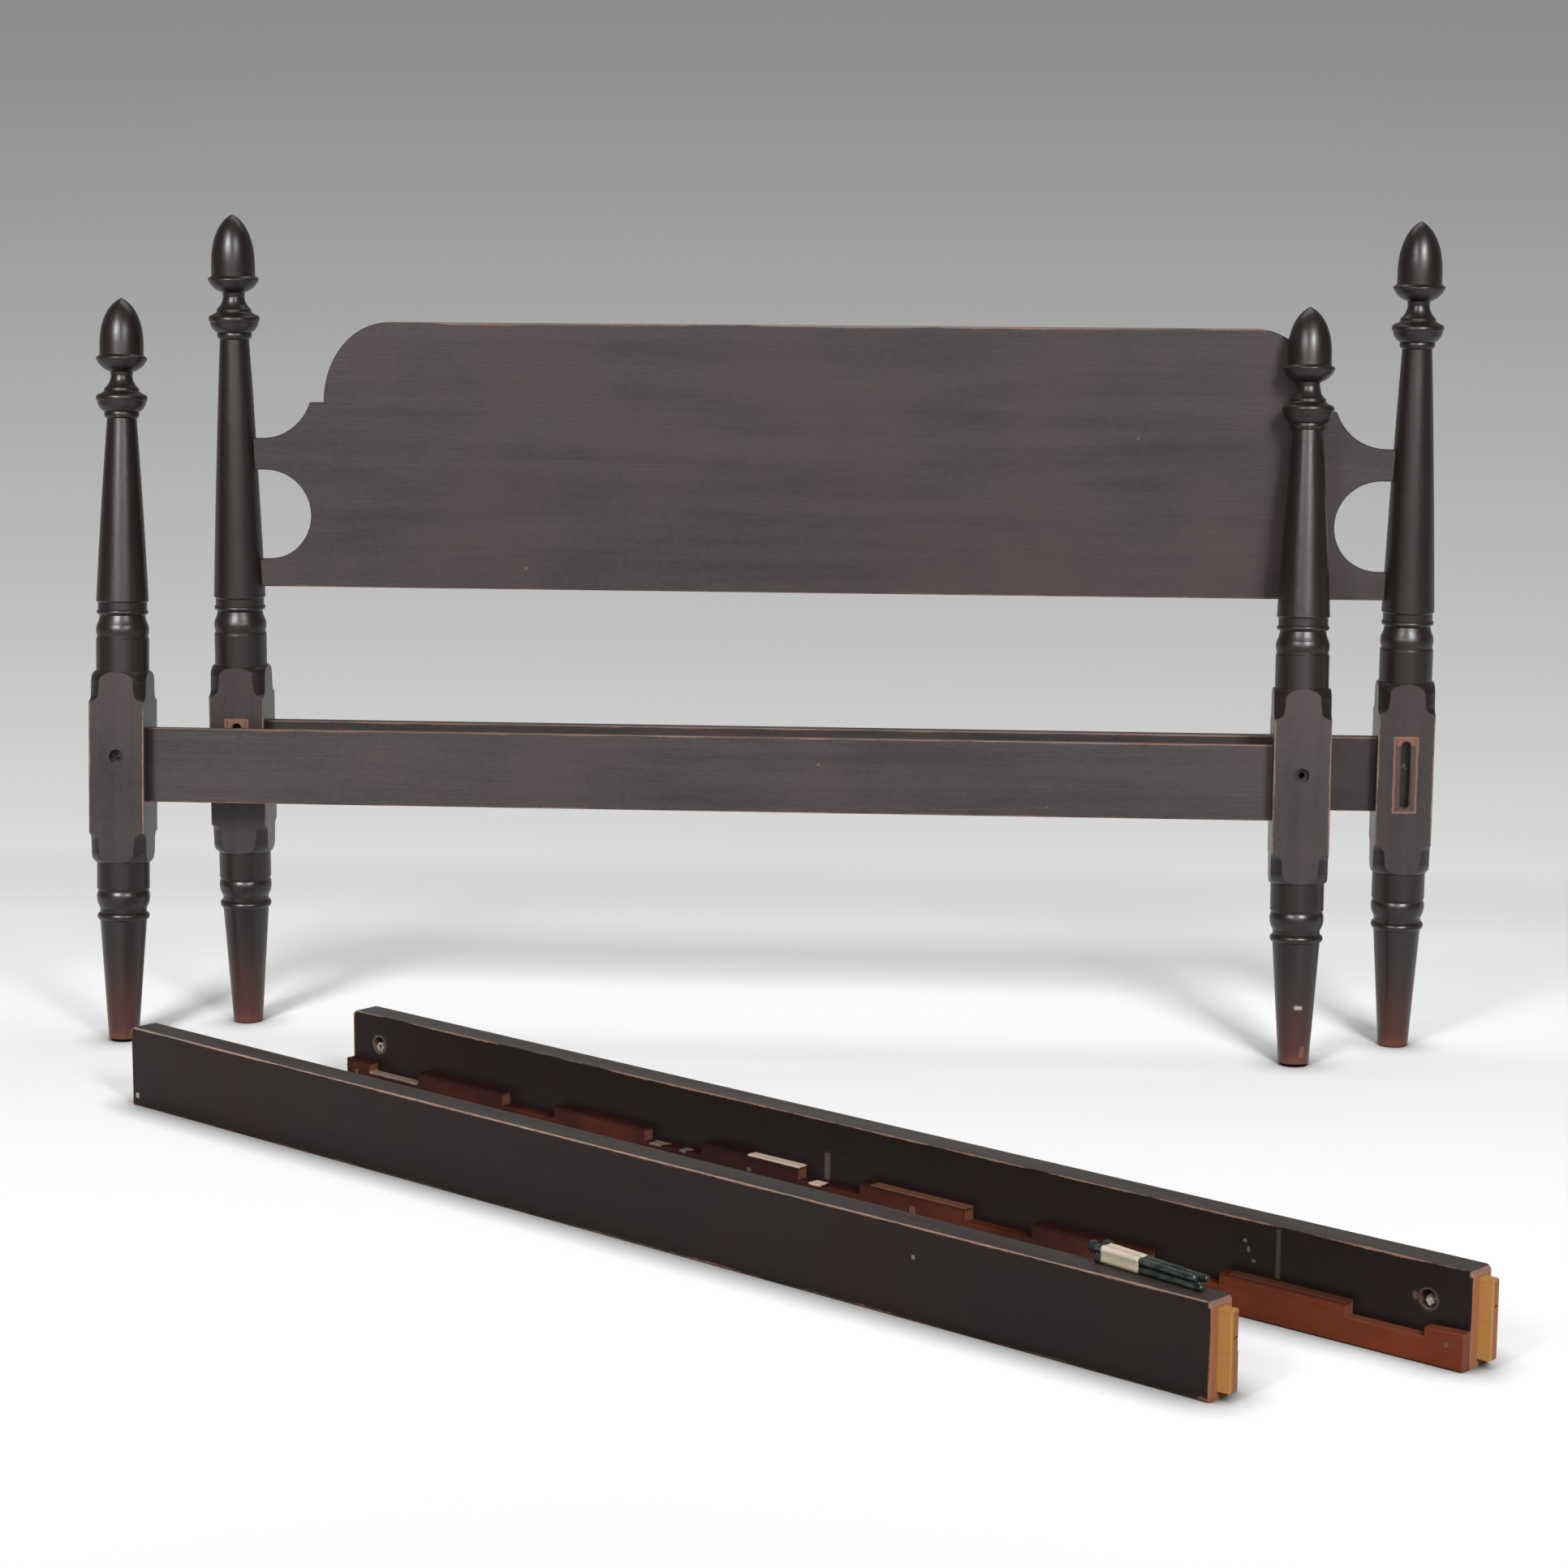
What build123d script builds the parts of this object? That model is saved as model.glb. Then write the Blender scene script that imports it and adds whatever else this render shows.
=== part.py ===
"""A knocked-down four-poster bed of stained wood.

The head end stands upright. The foot end leans back on it. The two side rails
lie on edge on the floor in front, and the bed bolts lie taped together on the
nearer rail. Millimetres, +Z up. The origin is on the floor, in the middle of
the space that the pieces take up.
"""
from build123d import *
from math import acos, cos, degrees, radians, sin, sqrt
import os

os.makedirs("parts", exist_ok=True)

# The bed's driving dimensions
post_spacing = 2000.0          # from post to post across the bed, centre to centre
rail_length = 2074.0           # side rail, from shoulder to shoulder
rail_height = 127.0            # side rail, from edge to edge
rail_thickness = 46.0          # side rail
rail_arris = 3.0               # rounding along a side rail's edges
rail_corner = 8.0              # rounding at a side rail's upper corners

# Posts: one square block between two turned lengths, heights from the sole
block = 95.0                   # across the square
block_arris = 2.0              # rounding of the square's corners
sole_radius = 25.5
sole_ease = 2.0                # small chamfer round the sole
leg_radius = 39.5              # the tapered leg, at its top
leg_height = 205.5
turned_radius = 44.7           # the plain round lengths, above and below the block
ring_height = 14.0             # the ring on top of the leg
ring_swell = 4.8               # how far the ring stands out of the leg
hollow_height = 7.0            # the narrow band over the ring
torus_height = 29.0            # the fat round moulding over the band
groove_height = 3.0            # the grooves beside the mouldings
groove_depth = 1.6
arch_low = 306.5               # where the block's flat faces start
arch_high = 633.0              # where they end
arch_rise = 37.0               # height of the arched ends of the flat faces
arch_width = 8.9               # how far the turning under an arch clears the faces
corner_cove = 15.0             # height of the hollow step at the block's corners
neck_start = 687.5             # end of the plain round length over the block
astragal_height = 22.0         # the broad bead over it
waist_radius = 38.3            # the hollow over the bead
waist_height = 22.0
bead_height = 8.5              # the small bead over the hollow
bead_swell = 5.4
shaft_start = 752.5
shaft_low_radius = 44.2
shaft_top_radius = 24.9
shaft_swell = 1.0              # the tapered shaft is slightly fuller at mid-height
head_shaft_top = 1192.5
foot_shaft_top = 1061.5

# Finial: a lip, a collar, a neck, a cup and an acorn, heights from the shaft's top
lip_height = 11.0
lip_swell = 4.5                # how far the lip stands out of the shaft
collar_height = 34.5           # the middle of the collar's nose
collar_nose = 7.0              # radius of that nose
collar_radius = 43.3
collar_top = 45.0
neck_radius = 18.2
neck_low = 72.0
neck_high = 79.0
rim_height = 101.5             # the middle of the cup's rim
rim_nose = 3.0
rim_radius = 43.0
acorn_base = 107.5
acorn_radius = 37.0
acorn_wall = 14.0              # the acorn's straight foot
head_acorn_height = 103.5
foot_acorn_height = 96.5

# Headboard
panel_thickness = 22.0
panel_bottom = 771.0
panel_height = 452.5
step_inset = 154.0             # from the post's centre line to the step in the outline
crown_width = 113.0            # the rounded top corner, across
crown_drop = 137.0             # and down
cove_radius = 92.0             # the hollow between the step and the post
cove_inset = 43.0              # from the post's centre line to the hollow's low end
ear_height = 53.0              # the panel's upper end, where it meets the post
notch_radius = 77.0            # the half-round cut-out beside each post
notch_inset = 52.0             # from the post's centre line to the cut-out's centre
notch_rise = 123.5             # from the panel's lower edge to that centre
panel_seat = 22.0              # the panel stops this far from the post's centre line
panel_ease = 1.2               # chamfer round the panel's edges

# End rails: the boards between each pair of posts
end_rail_height = 127.0
end_rail_bottom = 410.0
end_rail_thickness = 25.0
end_rail_ease = 1.5
end_tenon_length = 35.0
end_tenon_thickness = 18.0
end_tenon_inset = 12.0         # the tenon is that much lower than the board, each way
mortise_gap = 0.2              # beside a tenon that stays in its mortise

# Side rail joint: a stub tenon, a slot in the post and a long bolt
tenon_length = 21.0
tenon_height = 105.0
tenon_thickness = 14.0
tenon_bottom = 11.5            # above the rail's lower edge
tenon_ease = 2.5               # chamfer round the tenon's end
slot_clearance = 1.5           # slot width over tenon thickness
slot_low_clearance = 1.5       # slot past the tenon, at its lower end
slot_high_clearance = 9.0      # and at its upper end
slot_depth_clearance = 2.0
slot_rim = 1.8                 # worn chamfer round the slot's mouth
bolt_diameter = 9.5
bolt_clearance = 1.0           # hole diameter over bolt diameter
bolt_height = 79.0             # above the rail's lower edge
bolt_length = 159.0            # below the head
bolt_point = 1.5               # chamfer at its tip
bolt_end_clearance = 3.0       # hole past the tip of a fitted bolt
head_width = 14.3              # of a bolt's head and of a nut, across the flats
head_thickness = 8.0
head_ease = 0.8
counterbore_diameter = 24.0
counterbore_depth = 12.0
nut_hole_diameter = 25.0
nut_hole_wall = 12.0           # wood left on the rail's outer side
nut_setback = 62.0             # from the rail's shoulder to the nut hole's centre
nut_thickness = 8.3
nut_bore = 8.2                 # through the nut

# Slat ledger: a notched strip along a side rail's inner face
ledger_top = 54.5              # above the rail's lower edge
ledger_foot = 1.0              # above the rail's lower edge
ledger_thickness = 17.0
ledger_inset = 1.0             # it stops this far from the rail's shoulders
slat_count = 7
slat_width = 110.0
slat_clearance = 4.0           # notch over slat width
notch_depth = 19.0
end_block = 56.0               # the short blocks at the ledger's ends
end_block_low = 12.0           # their tops over the notches, at the inner side
end_block_high = 15.0          # and at the outer side
ledger_ease = 1.0
screw_diameter = 3.6
screw_head = 7.5               # diameter of its countersunk head
screw_length = 38.0
screw_gap = 0.1                # round a screw, in its holes
screw_height = 32.0            # above the rail's lower edge
screw_inset = 24.0             # from the ledger's end to the first screw

# Bolt bundle: four bolts, two over two, with a band of tape
bundle_gap = 0.5               # a bolt's head to the next bolt's shank
tip_gap = 0.5                  # between the shanks, at their tips
stagger = 11.0                 # two of the heads stand that much further in
tape_thickness = 0.8
tape_gap = 0.1                 # tape to shank
tape_width = 60.0
tape_start = 20.0              # from the foremost heads

# Where the pieces stand and lie
lean = 5.0                     # of the foot end, in degrees
rest_gap = 0.3                 # between pieces that lean or lie on each other
foot_shift = 182.5             # the foot end stands this far to the left
rail_turn = 37.7               # of the side rails, in plan
near_rail_x = -223.3           # middle of each side rail, from the middle of the head end
near_rail_y = -1199.7
far_rail_x = 106.9
far_rail_y = -1052.0
bundle_from_end = 206.0        # the foremost heads, from the near rail's right shoulder
bundle_overhang = 20.0         # there, its middle lies that far behind the rail's middle
bundle_turn = 4.5              # of the bundle on the rail, in plan

# Sizes that follow from these
shaft_top = {"head": head_shaft_top, "foot": foot_shaft_top}
acorn_height = {"head": head_acorn_height, "foot": foot_acorn_height}
post_reach = post_spacing / 2
lathe_radius = block / sqrt(2) + 1.5
bolt_hole_radius = (bolt_diameter + bolt_clearance) / 2
slot_width = tenon_thickness + slot_clearance
slot_length = tenon_height + slot_low_clearance + slot_high_clearance
slot_depth = tenon_length + slot_depth_clearance
slot_height = end_rail_bottom + tenon_bottom - slot_low_clearance + slot_length / 2
post_bolt_height = end_rail_bottom + bolt_height
bolt_hole_depth = tenon_length + bolt_length - (block - counterbore_depth) + bolt_end_clearance
panel_top = panel_bottom + panel_height
panel_flat = post_reach - step_inset - crown_width      # half the level top edge
cove_top = panel_top - crown_drop
notch_middle = panel_bottom + notch_rise
tab_top = notch_middle - notch_radius
ear_bottom = notch_middle + notch_radius
ear_top = ear_bottom + ear_height
ledger_length = rail_length - 2 * ledger_inset
seat_width = slat_width + slat_clearance
seat_height = ledger_top - notch_depth
long_block = (ledger_length - 2 * end_block - slat_count * seat_width) / (slat_count - 1)
seat_pitch = seat_width + long_block
shank_radius = bolt_diameter / 2
head_flat = head_width / 2
head_corner = head_width / sqrt(3)
nut_centred = rail_thickness / 2 - head_flat     # a nut on the bolt's axis lies that deep

# Screws at both ends of a ledger and in the long blocks beside its middle
screw_places = [-ledger_length / 2 + screw_inset, -seat_pitch / 2,
                seat_pitch / 2, ledger_length / 2 - screw_inset]

# The foot end leans back until the rim of its right-hand finial meets the headboard
tilt = radians(lean)
rim_reach = (rim_radius - rim_nose) * cos(tilt) + (foot_shaft_top + rim_height) * sin(tilt)
foot_back = rim_reach + rim_nose + rest_gap + panel_thickness / 2
foot_lift = (sole_radius - sole_ease) * sin(tilt)

# The middle of everything, seen from above, is the origin
turn = radians(rail_turn)
tenon_front = (rail_length / 2 + tenon_length - tenon_ease) * sin(turn)
tenon_front = tenon_front + tenon_thickness / 2 * cos(turn)
body_front = (rail_length / 2 - rail_arris) * sin(turn)
body_front = body_front + (rail_thickness / 2 - rail_arris) * cos(turn) + rail_arris
front_edge = near_rail_y - max(tenon_front, body_front)
middle_x = -foot_shift / 2
middle_y = (block / 2 + front_edge) / 2

rail_way = Vector(cos(turn), -sin(turn), 0)
head_end = Plane(origin=(-middle_x, -middle_y, 0), x_dir=(1, 0, 0), z_dir=(0, 0, 1))
foot_end = Plane(origin=(-foot_shift - middle_x, -foot_back - middle_y, foot_lift),
                 x_dir=(1, 0, 0), z_dir=(0, sin(tilt), cos(tilt)))
far_rail = Plane(origin=(far_rail_x - middle_x, far_rail_y - middle_y, 0),
                 x_dir=rail_way, z_dir=(0, 0, 1))
near_rail = Plane(origin=(near_rail_x - middle_x, near_rail_y - middle_y, 0),
                  x_dir=-rail_way, z_dir=(0, 0, 1))

FACINGS = {
    "up": ((1, 0, 0), (0, 0, 1)),
    "front": ((1, 0, 0), (0, -1, 0)),
    "back": ((-1, 0, 0), (0, 1, 0)),
    "right": ((0, 1, 0), (1, 0, 0)),
    "left": ((0, -1, 0), (-1, 0, 0)),
}

pieces = []


def aimed(frame, point, x_dir, z_dir):
    """A plane at a point of a piece's own frame, with directions of that frame."""
    return Plane(frame.location * Plane(origin=point, x_dir=x_dir, z_dir=z_dir).location)


def spot(frame, x, y, z, facing):
    """A plane at a point of a piece's own frame, turned to face one way."""
    x_dir, z_dir = FACINGS[facing]
    return aimed(frame, (x, y, z), x_dir, z_dir)


def finish(piece, label):
    """Name a finished piece and keep it for the export at the end."""
    piece.part.label = label
    pieces.append(piece)


def block_shoulder(arch, way):
    """Edges of an arched end of the flat faces; way is 1 upwards, -1 downwards."""
    face = block / 2
    strip = face + arch_width
    step = arch + way * arch_rise
    Line((turned_radius, arch), (face - 0.3, arch))
    ThreePointArc((face - 0.3, arch), (strip - 3.0, arch + way * 0.22 * arch_rise),
                  (strip - 1.0, arch + way * 0.55 * arch_rise))
    Line((strip - 1.0, arch + way * 0.55 * arch_rise), (strip, step))
    ThreePointArc((strip, step),
                  (strip + 0.29 * (lathe_radius - strip), step + way * 0.71 * corner_cove),
                  (lathe_radius, step + way * corner_cove))


def leg_and_block():
    """Edges of the turning from the sole to the plain length over the block."""
    ring_top = leg_height + ring_height
    torus = ring_top + hollow_height
    groove = torus + torus_height
    Line((0, 0), (sole_radius - sole_ease, 0))
    Line((sole_radius - sole_ease, 0), (sole_radius, sole_ease))
    Line((sole_radius, sole_ease), (leg_radius, leg_height))
    ThreePointArc((leg_radius, leg_height),
                  (leg_radius + ring_swell, leg_height + ring_height / 2),
                  (leg_radius, ring_top))
    Line((leg_radius, ring_top), (leg_radius, torus))
    ThreePointArc((leg_radius, torus), (turned_radius - 0.7, torus + 0.36 * torus_height),
                  (turned_radius + 0.5, torus + 0.66 * torus_height))
    ThreePointArc((turned_radius + 0.5, torus + 0.66 * torus_height),
                  (turned_radius - 0.1, torus + 0.86 * torus_height),
                  (turned_radius - groove_depth, groove))
    Line((turned_radius - groove_depth, groove),
         (turned_radius - groove_depth, groove + groove_height))
    Line((turned_radius - groove_depth, groove + groove_height),
         (turned_radius, groove + 1.6 * groove_height))
    Line((turned_radius, groove + 1.6 * groove_height), (turned_radius, arch_low))
    block_shoulder(arch_low, 1)
    Line((lathe_radius, arch_low + arch_rise + corner_cove),
         (lathe_radius, arch_high - arch_rise - corner_cove))
    block_shoulder(arch_high, -1)
    Line((turned_radius, arch_high), (turned_radius, neck_start))


def waist():
    """Edges of the mouldings between the plain length and the shaft."""
    bead_foot = neck_start + groove_height
    ogee = bead_foot + groove_height
    hollow = ogee + astragal_height
    bead = hollow + waist_height - bead_height
    small_groove = turned_radius - groove_depth
    Line((turned_radius, neck_start), (small_groove, bead_foot))
    Line((small_groove, bead_foot), (small_groove, ogee))
    ThreePointArc((small_groove, ogee), (turned_radius, ogee + 0.4 * astragal_height),
                  (turned_radius - 1.3, ogee + 0.8 * astragal_height))
    ThreePointArc((turned_radius - 1.3, ogee + 0.8 * astragal_height),
                  (waist_radius + 1.4, hollow + 0.25 * waist_height),
                  (waist_radius, hollow + 0.55 * waist_height))
    Line((waist_radius, hollow + 0.55 * waist_height), (waist_radius + 1.2, bead))
    ThreePointArc((waist_radius + 1.2, bead),
                  (waist_radius + bead_swell, bead + bead_height / 2),
                  (waist_radius + 3.1, bead + bead_height))
    Line((waist_radius + 3.1, bead + bead_height),
         (waist_radius + 3.1, shaft_start - groove_height))
    Line((waist_radius + 3.1, shaft_start - groove_height), (shaft_low_radius, shaft_start))


def shaft_and_finial(top, acorn_height):
    """Edges of the turning from the foot of the shaft to the tip of the acorn."""
    fuller = (shaft_low_radius + shaft_top_radius) / 2 + shaft_swell
    lip = shaft_top_radius + lip_swell
    base = top + acorn_base
    ThreePointArc((shaft_low_radius, shaft_start), (fuller, (shaft_start + top) / 2),
                  (shaft_top_radius, top))
    Line((shaft_top_radius, top), (lip - 1.5, top + 0.2 * lip_height))
    ThreePointArc((lip - 1.5, top + 0.2 * lip_height), (lip, top + 0.55 * lip_height),
                  (lip - 0.8, top + lip_height))
    collar_foot = (collar_radius - 11.3, top + lip_height + 2)
    Line((lip - 0.8, top + lip_height), collar_foot)
    nose = CenterArc((collar_radius - collar_nose, top + collar_height), collar_nose, -45, 125)
    ThreePointArc(collar_foot, (collar_radius - 4.7, top + collar_height - 13.5), nose @ 0)
    Line(nose @ 1, (collar_radius - 12.3, top + collar_top))
    Line((collar_radius - 12.3, top + collar_top), (neck_radius + 11.2, top + collar_top + 2))
    Line((neck_radius + 11.2, top + collar_top + 2), (neck_radius + 11.0, top + collar_top + 6))
    ThreePointArc((neck_radius + 11.0, top + collar_top + 6),
                  (neck_radius + 2.8, top + neck_low - 11), (neck_radius, top + neck_low))
    Line((neck_radius, top + neck_low), (neck_radius + 0.8, top + neck_high))
    rim = CenterArc((rim_radius - rim_nose, top + rim_height), rim_nose, -25, 105)
    ThreePointArc((neck_radius + 0.8, top + neck_high),
                  (rim_radius - 8, top + rim_height - 13), rim @ 0)
    Line(rim @ 1, (acorn_radius, base))
    Line((acorn_radius, base), (acorn_radius, base + acorn_wall))
    Spline((acorn_radius, base + acorn_wall),
           (0.88 * acorn_radius, base + 0.545 * acorn_height),
           (0.59 * acorn_radius, base + 0.8 * acorn_height),
           (0, base + acorn_height), tangents=((0, 1), (-1, 0.55)))
    Line((0, base + acorn_height), (0, 0))


def bed_post(frame, label, end, side, inner):
    """A post: turned from a square blank, then cut for its rails, bolt and panel.

    side is -1 for the left post and 1 for the right one. inner is the way that
    the side rail's slot faces: -1 to the front, 1 to the back.
    """
    x = side * post_reach
    top = shaft_top[end]
    inward = "left" if side > 0 else "right"
    slot_side = "front" if inner < 0 else "back"
    bolt_side = "back" if inner < 0 else "front"
    with BuildPart() as post:
        with BuildSketch(spot(frame, x, 0, 0, "up")):
            RectangleRounded(block, block, block_arris)
        extrude(amount=top + acorn_base + acorn_height[end] + 1)
        lathe = spot(frame, x, 0, 0, "front")
        with BuildSketch(lathe):
            with BuildLine():
                leg_and_block()
                waist()
                shaft_and_finial(top, acorn_height[end])
            make_face()
        revolve(axis=Axis(lathe.origin, frame.z_dir), mode=Mode.INTERSECT)
        # the side rail's slot, with a worn mouth
        mouth = spot(frame, x, inner * block / 2, slot_height, slot_side)
        with BuildSketch(mouth):
            SlotOverall(slot_length, slot_width, rotation=90)
        extrude(amount=-slot_depth, mode=Mode.SUBTRACT)
        with BuildSketch(mouth):
            SlotOverall(slot_length + 2 * slot_rim, slot_width + 2 * slot_rim, rotation=90)
        extrude(amount=-slot_rim, taper=45, mode=Mode.SUBTRACT)
        # the bolt comes in from the other side, through to the slot
        with Locations(spot(frame, x, -inner * block / 2, post_bolt_height, bolt_side)):
            CounterBoreHole(bolt_hole_radius, counterbore_diameter / 2, counterbore_depth,
                            depth=block - slot_depth + 1)
        # the end rail's mortise
        with BuildSketch(spot(frame, x - side * block / 2, 0,
                              end_rail_bottom + end_rail_height / 2, inward)):
            Rectangle(end_tenon_thickness + 2 * mortise_gap,
                      end_rail_height - 2 * end_tenon_inset + 2 * mortise_gap)
        extrude(amount=-end_tenon_length, mode=Mode.SUBTRACT)
        if end == "head":
            # two mortises for the headboard
            for low, high in ((panel_bottom, tab_top), (ear_bottom, ear_top)):
                with BuildSketch(spot(frame, x - side * panel_seat, 0, (low + high) / 2, inward)):
                    Rectangle(panel_thickness + 2 * mortise_gap, high - low + 2 * mortise_gap)
                extrude(amount=block / 2, mode=Mode.SUBTRACT)
    finish(post, label)


def end_rail(frame, label):
    """The board between two posts, with a tenon at each end."""
    clear = post_spacing - block
    middle = end_rail_bottom + end_rail_height / 2
    with BuildPart() as board:
        with BuildSketch(spot(frame, -clear / 2, 0, middle, "right")):
            RectangleRounded(end_rail_thickness, end_rail_height, end_rail_ease)
        extrude(amount=clear)
        with BuildSketch(spot(frame, -clear / 2 - end_tenon_length, 0, middle, "right")):
            Rectangle(end_tenon_thickness, end_rail_height - 2 * end_tenon_inset)
        extrude(amount=clear + 2 * end_tenon_length)
    finish(board, label)


def headboard(frame, label):
    """The shaped panel, with its ends let into the posts."""
    end = post_reach - panel_seat
    notch_x = post_reach - notch_inset
    cove_x = post_reach - cove_inset
    cove_angle = degrees(acos(1 - (cove_top - ear_top) / cove_radius))
    with BuildPart() as panel:
        with BuildSketch(spot(frame, 0, 0, 0, "front")):
            with BuildLine():
                Polyline((0, panel_bottom), (end, panel_bottom), (end, tab_top),
                         (notch_x, tab_top))
                ThreePointArc((notch_x, tab_top), (notch_x - notch_radius, notch_middle),
                              (notch_x, ear_bottom))
                Polyline((notch_x, ear_bottom), (end, ear_bottom), (end, ear_top),
                         (cove_x, ear_top))
                cove = CenterArc((cove_x, ear_top + cove_radius), cove_radius, 270, -cove_angle)
                Line(cove @ 1, (panel_flat + crown_width, cove_top))
                EllipticalCenterArc((panel_flat, cove_top), crown_width, crown_drop, 0, arc_size=90)
                Polyline((panel_flat, panel_top), (0, panel_top), (0, panel_bottom))
            make_face()
            mirror(about=Plane.YZ)
        extrude(amount=panel_thickness / 2, both=True)
        faces = panel.faces().filter_by(Axis(frame.origin, frame.y_dir))
        chamfer(faces.edges(), panel_ease)
    finish(panel, label)


def side_rail(frame, label):
    """A side rail on edge; its inner face is the front one of its own frame."""
    inner_face = -rail_thickness / 2
    with BuildPart() as rail:
        with BuildSketch(spot(frame, 0, -inner_face, rail_height / 2, "front")) as side:
            Rectangle(rail_length, rail_height)
            corners = side.vertices().sort_by(Axis(frame.origin, frame.z_dir))[-2:]
            fillet(corners, rail_corner)
        extrude(amount=rail_thickness)
        faces = rail.faces().filter_by(Axis(frame.origin, frame.y_dir))
        fillet(faces.edges(), rail_arris)
        for way, facing in ((-1, "left"), (1, "right")):
            shoulder_x = way * rail_length / 2
            with BuildSketch(spot(frame, shoulder_x, 0, tenon_bottom + tenon_height / 2, facing)):
                Rectangle(tenon_thickness, tenon_height)
            extrude(amount=tenon_length)
            tenon_end = rail.faces().sort_by(Axis(frame.origin, frame.x_dir * way))[-1]
            chamfer(tenon_end.edges(), tenon_ease)
            with Locations(spot(frame, shoulder_x + way * tenon_length, 0, bolt_height, facing)):
                Hole(bolt_hole_radius, depth=bolt_hole_depth)
            with Locations(spot(frame, way * (rail_length / 2 - nut_setback), inner_face,
                                bolt_height, "front")):
                Hole(nut_hole_diameter / 2, depth=rail_thickness - nut_hole_wall)
        for x in screw_places:
            with Locations(spot(frame, x, inner_face, screw_height, "front")):
                Hole(screw_diameter / 2 + screw_gap, depth=screw_length - ledger_thickness)
    finish(rail, label)


def slat_ledger(frame, label):
    """The strip that carries the slats, with a notch for each of them."""
    inner_face = -rail_thickness / 2
    outer_face = inner_face - ledger_thickness
    with BuildPart() as ledger:
        with BuildSketch(spot(frame, 0, inner_face, 0, "front")):
            with Locations((0, (ledger_foot + ledger_top) / 2)):
                Rectangle(ledger_length, ledger_top - ledger_foot)
            with Locations((0, ledger_top)):
                with GridLocations(seat_pitch, 1, slat_count, 1):
                    Rectangle(seat_width, 2 * notch_depth, mode=Mode.SUBTRACT)
            # the end blocks are lower, and slope down to their notches
            for way in (-1, 1):
                outer = way * (ledger_length / 2 + 1)
                inner = way * (ledger_length / 2 - end_block)
                with BuildLine():
                    Polyline((outer, ledger_top + 1), (outer, seat_height + end_block_high),
                             (inner, seat_height + end_block_low), (inner, ledger_top + 1),
                             close=True)
                make_face(mode=Mode.SUBTRACT)
        extrude(amount=ledger_thickness)
        outer_edges = ledger.faces().sort_by(Axis(frame.origin, frame.y_dir))[0].edges()
        chamfer(outer_edges, ledger_ease)
        for x in screw_places:
            with Locations(spot(frame, x, outer_face, screw_height, "front")):
                CounterSinkHole(screw_diameter / 2 + screw_gap, screw_head / 2 + screw_gap,
                                depth=ledger_thickness, counter_sink_angle=90)
    finish(ledger, label)


def ledger_screw(frame, label, x):
    """A countersunk screw, flush with the ledger's outer face."""
    outer_face = -rail_thickness / 2 - ledger_thickness
    cone = (screw_head - screw_diameter) / 2
    with BuildPart() as screw:
        with BuildSketch(spot(frame, x, outer_face, screw_height, "back")):
            Circle(screw_head / 2)
        extrude(amount=cone, taper=45)
        with BuildSketch(spot(frame, x, outer_face + cone, screw_height, "back")):
            Circle(screw_diameter / 2)
        extrude(amount=screw_length - cone)
    finish(screw, label)


def rail_nut(frame, label, way, sunk, tip, faces_out=False):
    """A loose hexagon nut on the lower wall of its hole in a side rail.

    sunk is how far its front lies behind the rail's inner face, and tip turns it
    in the hole, in degrees. faces_out is true for a nut that has fallen over, so
    that its bore faces out of the hole.
    """
    wall = nut_hole_diameter / 2 - rest_gap
    depth = sunk + (nut_thickness / 2 if faces_out else head_flat)
    hole = Vector(way * (rail_length / 2 - nut_setback), depth - rail_thickness / 2, bolt_height)
    down = Vector(sin(radians(tip)), 0, -cos(radians(tip)))
    across = Vector(cos(radians(tip)), 0, sin(radians(tip)))
    if faces_out:
        drop = sqrt(wall ** 2 - (head_corner / 2) ** 2) - head_flat
        place = aimed(frame, hole + down * drop, across, (0, -1, 0))
    else:
        drop = sqrt(wall ** 2 - (nut_thickness / 2) ** 2) - head_corner
        place = aimed(frame, hole + down * drop, down, across)
    with BuildPart() as nut:
        with BuildSketch(place):
            RegularPolygon(head_corner, 6)
            Circle(nut_bore / 2, mode=Mode.SUBTRACT)
        extrude(amount=nut_thickness / 2, both=True)
    finish(nut, label)


# The bundle lies on the near rail's top, with its heads to the left
bundle_angle = radians(bundle_turn)
bundle = aimed(near_rail, (-rail_length / 2 + bundle_from_end, -bundle_overhang, rail_height),
               (-cos(bundle_angle), sin(bundle_angle), 0), (0, 0, 1))
bundle_length = head_thickness + bolt_length


def shank_place(x, side, row):
    """Where a bolt's axis is at x: side -1 in front or 1 behind, row 0 below or 1 above."""
    share = x / bundle_length
    spread = (1 - share) * (head_corner + shank_radius + bundle_gap)
    spread = spread + share * (bolt_diameter + tip_gap)
    height = (1 - share) * head_flat + share * shank_radius + rest_gap
    rise = (1 - share) * (head_flat + shank_radius + bundle_gap)
    rise = rise + share * (bolt_diameter + tip_gap)
    return Vector(x, side * spread / 2, height + row * rise)


def bed_bolt(label, side, row, setback):
    """One bolt of the bundle, with a hexagon head."""
    start = shank_place(0, side, row)
    way = (shank_place(bundle_length, side, row) - start).normalized()
    seat = start + way * setback
    with BuildPart() as bolt:
        with BuildSketch(aimed(bundle, seat, (0, 1, 0), way)):
            RegularPolygon(head_corner, 6)
        extrude(amount=head_thickness)
        outer = bolt.faces().sort_by(Axis(bundle.origin, bundle.x_dir))[0]
        chamfer(outer.edges(), head_ease)
        with BuildSketch(aimed(bundle, seat, (0, 1, 0), way)):
            Circle(shank_radius)
        extrude(amount=bundle_length)
        tip = bolt.faces().sort_by(Axis(bundle.origin, bundle.x_dir))[-1]
        chamfer(tip.edges(), bolt_point)
    finish(bolt, label)


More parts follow.
